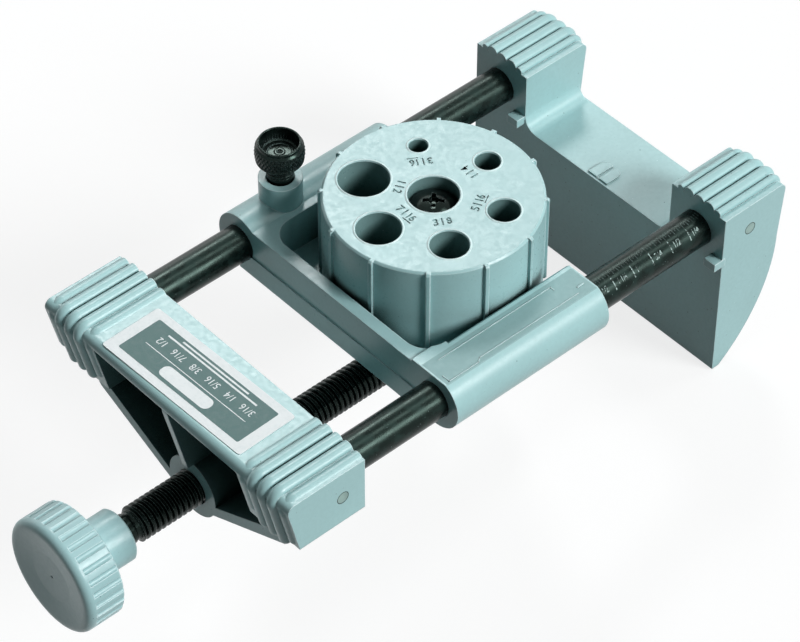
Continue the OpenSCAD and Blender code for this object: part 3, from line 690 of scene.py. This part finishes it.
def make_thumbscrew():
    top = LOCK_HIGH.z
    low = LOCK_LOW.z
    r = (LOCK_HIGH.x - LOCK_LOW.x) / 2
    centre = Vector(((LOCK_LOW.x + LOCK_HIGH.x) / 2, (LOCK_LOW.y + LOCK_HIGH.y) / 2, 0))
    band_low, band_high = [top - drop for drop in BAND_DROPS]

    def wave(turns):
        """Straight slopes, up to 1 at whole turns and down to 0 half way between them."""
        return 2 * abs(turns - math.floor(turns) - 0.5)

    def knurl(angle, height):
        """Two crossed rows of grooves, which leave small diamonds."""
        if not band_low < height < band_high:
            return 0.0
        around = angle * KNURLS / math.tau
        up = (height - band_low) / KNURL_H
        return -KNURL_DEPTH * (1 - min(wave(around + up), wave(around - up)))

    profile = [(0, low), (SHANK_R - END_CHAMFER, low), (SHANK_R, low + END_CHAMFER)]
    profile += [(radius, top - drop) for radius, drop in NECK]
    profile.append((r - 0.35, top - 5.6))
    for k in range(BAND_ROWS):
        share = k / (BAND_ROWS - 1)
        bulge = r - BAND_BULGE * (2 * share - 1) ** 2
        profile.append((bulge, band_low + (band_high - band_low) * share))
    profile += [(r - inset, top - drop) for inset, drop in DISH]
    profile += [(radius, top - drop) for radius, drop in DISH_CENTRE]
    points, faces = lathe(profile, KNURLS * 8, knurl)
    head = make("lock_screw", placed(points, Matrix.Translation(centre)), faces, SCREW_BLACK, sharp=28)
    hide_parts("thumbscrew")
    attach(head, "thumbscrew")


# Clamp screw: a turned stem and a true helical thread
PITCH = INCH / 16
THREAD_DEPTH = 0.86
THREAD_SEGMENTS = 36
# One turn's section: distance along the pitch, and height as a share of the thread's depth
THREAD_SECTION = [(0.0, 1.0), (0.10, 1.0), (0.36, 0.0), (0.50, 0.0), (0.76, 1.0), (0.90, 1.0)]
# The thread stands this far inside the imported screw, and its root a little inside the stem
THREAD_INSET = 0.005
ROOT_INSET = 0.02
# How fast the thread rises out of the stem at its ends
RUN_OUT = 1.1
RUN_OUT_SINK = 0.25


def thread(start, end, radius, core):
    """A right handed thread along X, its two ends fading into the core."""
    turns = int((end - start) / PITCH) - 1
    end = start + PITCH * (turns + 1)
    per = len(THREAD_SECTION)
    seg = THREAD_SEGMENTS
    rows = turns * per + 1
    points = []
    for row in range(rows):
        share, height = THREAD_SECTION[row % per]
        along = start + PITCH * (row // per + share)
        for i in range(seg):
            x = along + PITCH * i / seg
            angle = math.tau * i / seg
            r = radius - THREAD_DEPTH * (1 - height)
            to_end = max(0.0, min(x - start, end - x))
            r = min(r, core - RUN_OUT_SINK + RUN_OUT * to_end)
            points.append((x, r * math.cos(angle), r * math.sin(angle)))
    faces = []
    for row in range(rows - 1):
        for i in range(seg):
            v = row * seg + i
            if i < seg - 1:
                faces.append([v, v + 1, v + 1 + seg, v + seg])
            elif row + per + 1 < rows:
                # The last segment is joined to the first one of the next turn
                w = (row + per) * seg
                faces.append([v, w, w + seg, v + seg])
    # Each end's open edge is one row of points and the step back to the row a turn away
    first = list(range(seg)) + [row * seg for row in range(per, 0, -1)]
    last_row = (rows - 1) * seg
    last = [last_row + i for i in range(seg)]
    last += [(rows - 1 - k) * seg + seg - 1 for k in range(1, per + 1)]
    for loop, flip in ((first, True), (last, False)):
        hub = len(points)
        points.append((sum(points[v][0] for v in loop) / len(loop), 0.0, 0.0))
        for n, v in enumerate(loop):
            w = loop[(n + 1) % len(loop)]
            faces.append([hub, w, v] if flip else [hub, v, w])
    return points, faces


# Radii of the stem that goes into the knob, of the neck where the thread starts, of the nose
# that carries the pad and of the clip's groove in it
STEM_R = 4.0
NECK_R = 3.75
NOSE_R = 3.2
CLIP_GROOVE_R = 2.7
# How far out of the knob's hub the thread starts, and the gaps at the pad and at the clip
THREAD_START = 3.2
PAD_GAP = 0.1
CLIP_GAP = 0.05


def make_clamp_screw():
    start, end = SCREW_LOW.x, SCREW_HIGH.x
    neck = HUB_END + THREAD_START
    shoulder = span("clamp_pad")[0].x - PAD_GAP
    radius = (SCREW_HIGH.z - SCREW_LOW.z) / 2 - THREAD_INSET
    core = radius - THREAD_DEPTH + ROOT_INSET
    groove_start = span("pad_clip")[0].x - CLIP_GAP
    groove_end = span("pad_clip")[1].x + CLIP_GAP
    profile = [
        (0, start), (STEM_R - END_CHAMFER, start), (STEM_R, start + END_CHAMFER),
        (STEM_R, neck - 0.9), (NECK_R, neck - 0.5), (NECK_R, neck + 0.1),
        (core, neck + 0.3), (core, shoulder - 0.6), (core - 0.5, shoulder),
        (NOSE_R, shoulder), (NOSE_R, groove_start), (CLIP_GROOVE_R, groove_start),
        (CLIP_GROOVE_R, groove_end), (NOSE_R, groove_end),
        (NOSE_R, end - END_CHAMFER), (NOSE_R - END_CHAMFER, end), (0, end),
    ]
    points, faces = lathe(profile, 72)
    z_to_x = Matrix(((0, 0, 1, 0), (1, 0, 0, 0), (0, 1, 0, SCREW_Z), (0, 0, 0, 1)))
    stem = (placed(points, z_to_x), faces)
    helix = shifted(thread(neck, shoulder - 0.2, radius, core), 0, 0, SCREW_Z)
    screw = make("clamp_screw_thread", *joined([stem, helix]), SCREW_BLACK, sharp=30)
    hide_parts("lead_screw")
    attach(screw, "clamp_screw")


# Scale on the near rod: ticks and figures printed round its upper side. Where they start, end
# or have their middle is in degrees from the rod's top towards the front
LONG_TICK = (22, 61)
FINE_TICK = (-7, 17)
ODD_TICK_SHORTER = 7
FIGURE_MIDDLE = 42
LONG_TICK_W = 0.26
LONG_TICK_STEPS = 8
FINE_TICK_W = 0.2
FINE_TICK_STEPS = 5
SCALE_FIGURE_H = 1.7
FLAT_DEPTH = 0.03
# Heights of a mark's outer and inner faces over the rod's surface
INK_RISE = 0.016
INK_FOOT = -0.05
# Quarter inches that the scale has, and its finest ticks in each
QUARTERS = 12
TICKS_PER_QUARTER = 8
QUARTER_NAMES = ("1/4", "1/2", "3/4")
# How far the middle of a tick's figures is from it, and how narrow they are: for one figure,
# for a fraction and for a whole number with a fraction
ONE_FIGURE = (1.4, 0.8)
FRACTION = (2.3, 0.8)
MIXED = (2.8, 0.62)
# The figures are cut across at their middle and so many times on each side of it
BEND_CUTS = 3
BEND_STEP = 0.27


def on_rod(x, degrees, rise):
    """A point on the near rod: its angle is measured from the top towards the front."""
    angle = math.radians(degrees)
    r = ROD_R + rise
    return (x, ROD_Y - r * math.sin(angle), ROD_Z + r * math.cos(angle))


def tick(x, start, end, width, steps):
    section = ((-1, INK_FOOT), (1, INK_FOOT), (1, INK_RISE), (-1, INK_RISE))
    points = []
    for k in range(steps + 1):
        degrees = start + (end - start) * k / steps
        for side, rise in section:
            points.append(on_rod(x + side * width / 2, degrees, rise))
    last = 4 * steps
    faces = [[0, 1, 2, 3], [last + 3, last + 2, last + 1, last]]
    for k in range(steps):
        for corner in range(4):
            a = 4 * k + corner
            b = 4 * k + (corner + 1) % 4
            faces.append([b, a, a + 4, b + 4])
    return points, faces


def rod_figures(text, x, squeeze):
    """Figures bent round the rod, cut across first so that they follow its curve."""
    points, faces = letters(text, SCALE_FIGURE_H, FLAT_DEPTH, squeeze)
    bm = bmesh.new()
    verts = [bm.verts.new(p) for p in points]
    for face in faces:
        bm.faces.new([verts[v] for v in face])
    for k in range(-BEND_CUTS, BEND_CUTS + 1):
        everything = bm.verts[:] + bm.edges[:] + bm.faces[:]
        place = (0, k * BEND_STEP, 0)
        bmesh.ops.bisect_plane(bm, geom=everything, dist=1e-5, plane_co=place, plane_no=(0, 1, 0))
    bm.verts.index_update()
    bent = []
    for vertex in bm.verts:
        degrees = FIGURE_MIDDLE - math.degrees(vertex.co.y / ROD_R)
        bent.append(on_rod(x + vertex.co.x, degrees, INK_RISE if vertex.co.z > 0 else INK_FOOT))
    faces = [[vertex.index for vertex in face.verts] for face in bm.faces]
    bm.free()
    return bent, faces


def quarter_text(quarters):
    """The figures of a number of quarter inches."""
    whole, rest = divmod(quarters, 4)
    if not rest:
        return str(whole)
    part = QUARTER_NAMES[rest - 1]
    return f"{whole} {part}" if whole else part


def quarter_figures(text, tick_x):
    """A tick's figures, beside it on the fixed jaw's side."""
    shift, squeeze = ONE_FIGURE
    if "/" in text:
        shift, squeeze = MIXED if " " in text else FRACTION
    return rod_figures(text, tick_x + shift, squeeze)


def make_scale():
    long_parts, fine_parts = [], []
    for k in range(1, QUARTERS + 1):
        x = JAW_FACE - k * INCH / 4
        long_parts.append(tick(x, *LONG_TICK, LONG_TICK_W, LONG_TICK_STEPS))
        long_parts.append(quarter_figures(quarter_text(k), x))
    start, full = FINE_TICK
    for k in range(1, QUARTERS * TICKS_PER_QUARTER + 1):
        x = JAW_FACE - k * INCH / 4 / TICKS_PER_QUARTER
        end = full - ODD_TICK_SHORTER * (k % 2)
        fine_parts.append(tick(x, start, end, FINE_TICK_W, FINE_TICK_STEPS))
    long_marks = make("scale_marks", *joined(long_parts), SCALE_INK, sharp=60)
    fine_marks = make("scale_fine_marks", *joined(fine_parts), FINE_INK, sharp=60)
    for piece in (long_marks, fine_marks):
        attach(piece, "frame")


# Label: white foil with a dark field, plain rules and a row of drill sizes. Its own X runs
# towards the carriage, and its own Y along the row
LABEL_SKEW = 1.5
FOIL_CORNER = 0.8
FIELD_CORNER = 0.5
FIELD_IN = (2.3, 3.2)
# How far the field and the print on it rise, and how far both reach into what is under them
FIELD_RISE = 0.03
PRINT_RISE = 0.02
FIELD_SINK = 0.05
PRINT_SINK = 0.03
BADGE_IN = 1.0
BADGE_W = 3.6
BADGE_HALF = 8.5
BADGE_CORNER = 1.6
PRINT_FIGURE_H = 2.0
PRINT_SQUEEZE = 0.85
DRILL_SIZES = ("3/16", "1/4", "5/16", "3/8", "7/16", "1/2")
DRILL_SIZE_STEP = 6.0
DRILL_SIZE_IN = 4.6


def label_size(skew):
    """The plate's own half sizes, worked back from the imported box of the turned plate."""
    size = LABEL_HIGH - LABEL_LOW
    cos, sin = math.cos(skew), math.sin(skew)
    width = (size.x * cos - size.y * sin) / (cos * cos - sin * sin)
    length = (size.y * cos - size.x * sin) / (cos * cos - sin * sin)
    return width / 2, length / 2


def label_print(half_w, base):
    """The badge, the rules and the drill sizes, on a field whose top is at the base."""
    bottom, top = base - PRINT_SINK, base + PRINT_RISE
    badge_x = -half_w + BADGE_IN
    badge = rounded(
        (badge_x, -BADGE_HALF), (badge_x + BADGE_W, BADGE_HALF), BADGE_CORNER, bottom, top
    )
    solids = [badge]
    # Each rule's place across the label, half length and width
    rules = ((half_w - 0.9, 11.5, 0.5), (half_w - 2.0, 15.5, 0.5), (-half_w + 5.5, 17.5, 0.22))
    for x, half, width in rules:
        solids.append(block((x - width / 2, -half, bottom), (x + width / 2, half, top)))
    # The sizes read from the near rod to the far one, their tops towards the knob
    upright = Matrix(((0, -1, 0, 0), (1, 0, 0, 0), (0, 0, 1, 0), (0, 0, 0, 1)))
    middle = (len(DRILL_SIZES) - 1) / 2
    for k, text in enumerate(DRILL_SIZES):
        points, faces = letters(text, PRINT_FIGURE_H, PRINT_RISE, PRINT_SQUEEZE)
        y = (k - middle) * DRILL_SIZE_STEP
        place = Matrix.Translation((half_w - DRILL_SIZE_IN, y, base)) @ upright
        solids.append((placed(points, place), faces))
    return joined(solids)


def make_label():
    skew = math.radians(LABEL_SKEW)
    centre = (LABEL_LOW + LABEL_HIGH) / 2
    low, high = LABEL_LOW.z, LABEL_HIGH.z
    place = Matrix.Translation((centre.x, centre.y, 0)) @ Matrix.Rotation(skew, 4, "Z")
    half_w, half_l = label_size(skew)
    points, faces = rounded((-half_w, -half_l), (half_w, half_l), FOIL_CORNER, low, high)
    plate = make("label_foil_plate", placed(points, place), faces, FOIL)
    half_w -= FIELD_IN[0]
    half_l -= FIELD_IN[1]
    top = high + FIELD_RISE
    foot = high - FIELD_SINK
    points, faces = rounded((-half_w, -half_l), (half_w, half_l), FIELD_CORNER, foot, top)
    field = make("label_field", placed(points, place), faces, FIELD)
    points, faces = label_print(half_w, top)
    marks = make("label_print", placed(points, place), faces, FOIL, sharp=60)
    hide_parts("label_plate")
    for piece in (plate, field, marks):
        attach(piece, "frame")


# Carriage: fine raised lines on the flat index panel of the near tube
LINE_HALF_W = 0.13
LINE_OVER = 0.1
LINE_RISE = 0.12
LINE_SINK = 0.05
NEAR_LINE_Y = -38.4
FAR_LINE_Y = -31.6
# Both ends of each line along the panel, in XY
PANEL_LINES = [
    ((-29.8, NEAR_LINE_Y), (-20.6, NEAR_LINE_Y)),
    ((-20.6, NEAR_LINE_Y), (-19.4, NEAR_LINE_Y + 0.9)),
    ((-19.4, NEAR_LINE_Y + 0.9), (12.6, NEAR_LINE_Y + 0.9)),
    ((-29.8, NEAR_LINE_Y), (-29.8, NEAR_LINE_Y + 2.2)),
    ((-27.0, FAR_LINE_Y), (9.0, FAR_LINE_Y)),
    ((9.0, FAR_LINE_Y), (9.0, FAR_LINE_Y - 1.2)),
]
# The index line at the tube's front end: its two ends along X, and its two sides
INDEX_ENDS = (HOLE_PITCH_R - 3.9, HOLE_PITCH_R - 1.8)
INDEX_SIDES = (-36.1, -35.7)
INDEX_RISE = 0.16


def panel_line(start, end):
    start, end = Vector(start), Vector(end)
    along = (end - start).normalized()
    side = Vector((-along.y, along.x)) * LINE_HALF_W
    over = along * LINE_OVER
    outline = [start - over - side, end + over - side, end + over + side, start - over + side]
    return raised(outline, PANEL_Z - LINE_SINK, PANEL_Z + LINE_RISE)


def make_index_lines():
    solids = [panel_line(*ends) for ends in PANEL_LINES]
    low = (INDEX_ENDS[0], INDEX_SIDES[0], PANEL_Z - LINE_SINK)
    solids.append(block(low, (INDEX_ENDS[1], INDEX_SIDES[1], PANEL_Z + INDEX_RISE)))
    lines = make("index_panel_lines", *joined(solids), CARRIAGE_METAL)
    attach(lines, "carriage")


# Cross pins: the dark seam round each end that shows in the castings' sides
PINS = ("scale_rod_jaw_pin", "plain_rod_jaw_pin", "scale_rod_bracket_pin", "plain_rod_bracket_pin")
SEAM_IN = 0.04
SEAM_OUT = 0.17
SEAM_SINK = 0.1
SEAM_RISE = 0.012


def pin_seam(node):
    low, high = span(node)
    middle = (low + high) / 2
    r = (high.x - low.x) / 2
    inner, outer = r - SEAM_IN, r + SEAM_OUT
    profile = [(inner, -SEAM_SINK), (outer, -SEAM_SINK), (outer, SEAM_RISE), (inner, SEAM_RISE)]
    points, faces = ring(profile, 48)
    # The ring's axis is turned outwards, to the side that the pin's end is on
    out = 1 if middle.y > 0 else -1
    end = high.y if out > 0 else low.y
    turn = Matrix(((1, 0, 0, middle.x), (0, 0, out, end), (0, -out, 0, middle.z), (0, 0, 0, 1)))
    return placed(points, turn), faces


def make_pin_seams():
    seams = make("pin_seams", *joined([pin_seam(node) for node in PINS]), SEAM_INK)
    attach(seams, "frame")


# Floor, which tilts a little so that it touches the object at both ends, in metres
FLOOR_HALF = 3.0
FLOOR_GAP = 0.00002
# Slopes between which the floor's is searched, and the number of halvings
STEEPEST = 0.2
HALVINGS = 50


def supports():
    """Slope and height of the plane that touches the knob and the fixed jaw from below."""
    clouds = []
    for node in ("knob", "fixed_jaw"):
        mesh = NODES[node].data
        places = np.empty(len(mesh.vertices) * 3, np.float32)
        mesh.vertices.foreach_get("co", places)
        clouds.append(places.reshape(-1, 3).astype(float))

    def lowest(cloud, slope):
        return (cloud[:, 2] - slope * cloud[:, 0]).min()

    low, high = -STEEPEST, STEEPEST
    for _ in range(HALVINGS):
        slope = (low + high) / 2
        knob, jaw = [lowest(cloud, slope) for cloud in clouds]
        if knob < jaw:
            high = slope
        else:
            low = slope
    return slope, min(lowest(cloud, slope) for cloud in clouds)


def either(tree, a, b):
    """1 where one of two masks is 1."""
    return add_node(tree, "ShaderNodeMath", {0: a, 1: b}, operation="MAXIMUM").outputs[0]


def floor_paper():
    """White paper to the camera and in reflections, and dark to all other light."""
    material = bpy.data.materials.new("floor_paper")
    material.use_nodes = True
    tree = material.node_tree
    tree.nodes.clear()
    path = add_node(tree, "ShaderNodeLightPath").outputs
    seen = either(tree, path["Is Camera Ray"], path["Is Glossy Ray"])
    paper = add_node(tree, "ShaderNodeBsdfDiffuse", {"Color": rgb(0.23, 0.235, 0.235)})
    glow = add_node(tree, "ShaderNodeEmission", {"Color": rgb(1, 1, 1), "Strength": 0.80})
    white = add_node(tree, "ShaderNodeAddShader", {0: paper.outputs[0], 1: glow.outputs[0]})
    dark = add_node(tree, "ShaderNodeBsdfDiffuse", {"Color": rgb(0.07, 0.085, 0.085)})
    inputs = {0: seen, 1: dark.outputs[0], 2: white.outputs[0]}
    mix = add_node(tree, "ShaderNodeMixShader", inputs)
    add_node(tree, "ShaderNodeOutputMaterial", {"Surface": mix.outputs[0]})
    return material


def make_floor():
    slope, height = supports()
    corners = ((-1, -1), (1, -1), (1, 1), (-1, 1))
    points = []
    for side_x, side_y in corners:
        x, y = side_x * FLOOR_HALF, side_y * FLOOR_HALF
        points.append((x, y, height + slope * x - FLOOR_GAP))
    mesh = bpy.data.meshes.new("floor")
    mesh.from_pydata(points, [], [[0, 1, 2, 3]])
    mesh.materials.append(floor_paper())
    floor = bpy.data.objects.new("floor", mesh)
    bpy.context.scene.collection.objects.link(floor)


# World: white to the camera, in reflections and through clear pieces, and a dim sky as a light
SKY = rgb(0.78, 1.0, 1.0)
SKY_STRENGTH = 0.034


def make_world():
    world = bpy.data.worlds.new("studio")
    bpy.context.scene.world = world
    world.use_nodes = True
    tree = world.node_tree
    tree.nodes.clear()
    path = add_node(tree, "ShaderNodeLightPath").outputs
    seen = either(tree, path["Is Camera Ray"], path["Is Glossy Ray"])
    seen = either(tree, seen, path["Is Transmission Ray"])
    dim = add_node(tree, "ShaderNodeBackground", {"Color": SKY, "Strength": SKY_STRENGTH})
    white = add_node(tree, "ShaderNodeBackground", {"Color": rgb(1, 1, 1), "Strength": 1.0})
    inputs = {0: seen, 1: dim.outputs[0], 2: white.outputs[0]}
    mix = add_node(tree, "ShaderNodeMixShader", inputs)
    add_node(tree, "ShaderNodeOutputWorld", {"Surface": mix.outputs[0]})


# Lamps. Each sun has the direction that it stands in, its strength and its width in degrees.
# The sheen stands about where level faces reflect it towards the camera
SUNS = {
    "key": ((0.30, -0.77, 0.53), 3.15, 22),
    "sheen": ((0.425, 0.545, 0.723), 0.86, 12.5),
    "overhead": ((0.47, -0.18, 0.86), 0.42, 14),
    "back_fill": ((0.15, 0.95, 0.28), 0.8, 50),
}
# A small round lamp in front of the knob, in metres and watts
KNOB_FILL_PLACE = (-0.205, -0.025, 0.03)
KNOB_FILL_TARGET = (-0.118, 0.0, -0.018)
KNOB_FILL_SIZE = 0.09
KNOB_FILL_POWER = 0.006


def hang(light, towards, place=(0, 0, 0)):
    """Hangs a lamp that shines from the direction given."""
    lamp = bpy.data.objects.new(light.name, light)
    lamp.location = place
    lamp.rotation_mode = "QUATERNION"
    lamp.rotation_quaternion = Vector(towards).to_track_quat("Z", "Y")
    bpy.context.scene.collection.objects.link(lamp)


def make_lamps():
    for name, (towards, strength, degrees) in SUNS.items():
        sun = bpy.data.lights.new(name, "SUN")
        sun.energy = strength
        sun.angle = math.radians(degrees)
        hang(sun, towards)
    fill = bpy.data.lights.new("knob_fill", "AREA")
    fill.shape = "DISK"
    fill.size = KNOB_FILL_SIZE
    fill.energy = KNOB_FILL_POWER
    hang(fill, Vector(KNOB_FILL_PLACE) - Vector(KNOB_FILL_TARGET), KNOB_FILL_PLACE)


# Camera: its place in millimetres, its turn in degrees, and its lens on a 36 mm sensor
CAMERA_PLACE = (-412.50, -445.77, 600.43)
CAMERA_TURN = (44.661, -0.127, -41.904)
LENS = 157.01
SENSOR = 36
CLIP = (0.05, 20)


def make_camera():
    data = bpy.data.cameras.new("camera")
    data.sensor_width = SENSOR
    data.lens = LENS
    data.clip_start, data.clip_end = CLIP
    camera = bpy.data.objects.new("camera", data)
    camera.location = Vector(CAMERA_PLACE) * MM
    camera.rotation_euler = [math.radians(degrees) for degrees in CAMERA_TURN]
    bpy.context.scene.collection.objects.link(camera)
    bpy.context.scene.camera = camera


finish_nodes()
make_turret()
make_thumbscrew()
make_clamp_screw()
make_scale()
make_label()
make_index_lines()
make_pin_seams()
make_floor()
make_world()
make_lamps()
make_camera()
bpy.context.scene.view_settings.view_transform = "Standard"
